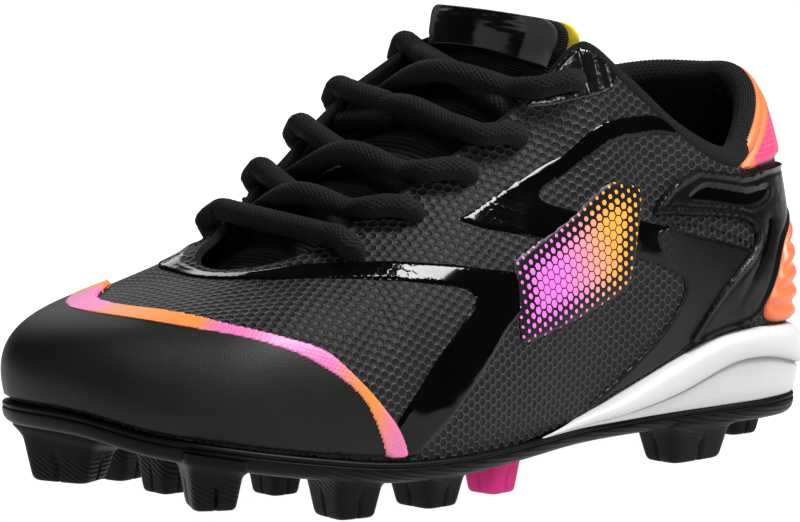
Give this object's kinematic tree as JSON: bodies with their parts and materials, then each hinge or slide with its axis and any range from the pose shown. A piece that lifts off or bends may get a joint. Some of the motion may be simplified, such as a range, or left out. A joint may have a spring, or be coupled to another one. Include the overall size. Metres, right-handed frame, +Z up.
{
  "type": "baseball cleat",
  "caption": "Youth low-top baseball cleat, left shoe, with moulded studs, laced throat, padded collar, toe cap and heel counter.",
  "frame": {"origin": "middle of the shoe's outline in plan, at the ground under its studs", "axes": "+Y from the toe to the heel, +X to the outer (lateral) side, +Z up"},
  "size_m": [0.0966, 0.2284, 0.1123],
  "materials": {
    "upper_synthetic": "embossed matte synthetic",
    "outsole_rubber": "satin",
    "accent_rubber": "satin",
    "midsole_foam": "satin foam skin",
    "insole_cloth": "matte",
    "toe_cap_film": "fine grain",
    "counter_plastic": "satin and gloss",
    "heel_panel_film": "satin",
    "heel_tab_film": "satin",
    "tongue_knit": "ribbed knit",
    "lining_cloth": "matte",
    "label_film": "gloss",
    "lace_cord": "braided"
  },
  "bodies": {
    "root": {"upper": "upper_synthetic", "outsole": "outsole_rubber", "accent_stud": "accent_rubber", "midsole": "midsole_foam", "insole": "insole_cloth", "toe_cap": "toe_cap_film", "heel_counter": "counter_plastic", "heel_panel": "heel_panel_film", "heel_tab": "heel_tab_film", "tongue": "tongue_knit", "tongue_lining": "lining_cloth", "tongue_label": "label_film", "lace_bar": "lace_cord", "lace_crossing_1": "lace_cord", "lace_crossing_2": "lace_cord", "lace_crossing_3": "lace_cord", "lace_crossing_4": "lace_cord"}
  },
  "joints": []
}
